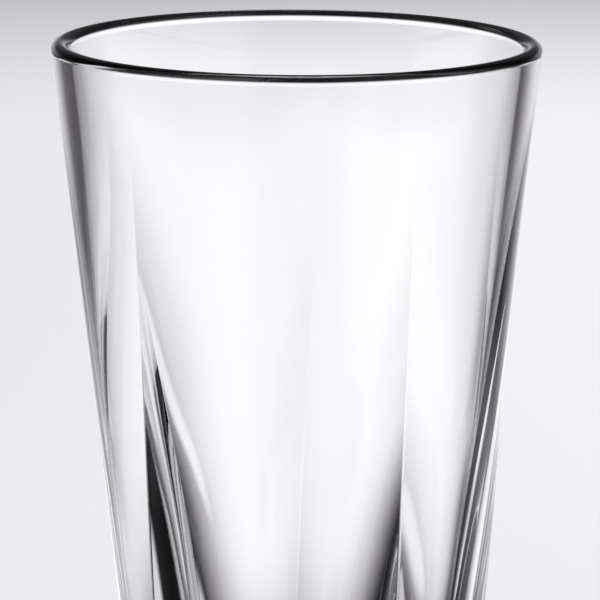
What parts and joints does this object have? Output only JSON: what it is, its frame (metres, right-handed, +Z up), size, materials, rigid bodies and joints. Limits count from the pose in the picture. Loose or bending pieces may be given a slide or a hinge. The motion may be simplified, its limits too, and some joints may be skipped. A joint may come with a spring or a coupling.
{
  "type": "cooler glass",
  "caption": "Tall tapered clear drinking glass: round fire-polished rim, panelled lower wall with rounded ridges, heavy solid base.",
  "frame": {"origin": "centre of the bearing ring, on the plane that the glass stands on", "axes": "+Z up along the axis of the glass, from the base to the rim; -Y faces the picture's camera"},
  "size_m": [0.088, 0.088, 0.16],
  "materials": {
    "clear_glass": "fire-polished, colourless and clear"
  },
  "bodies": {
    "root": {"rim": "clear_glass", "upper_wall": "clear_glass", "panel_wall": "clear_glass", "base": "clear_glass"}
  },
  "joints": []
}
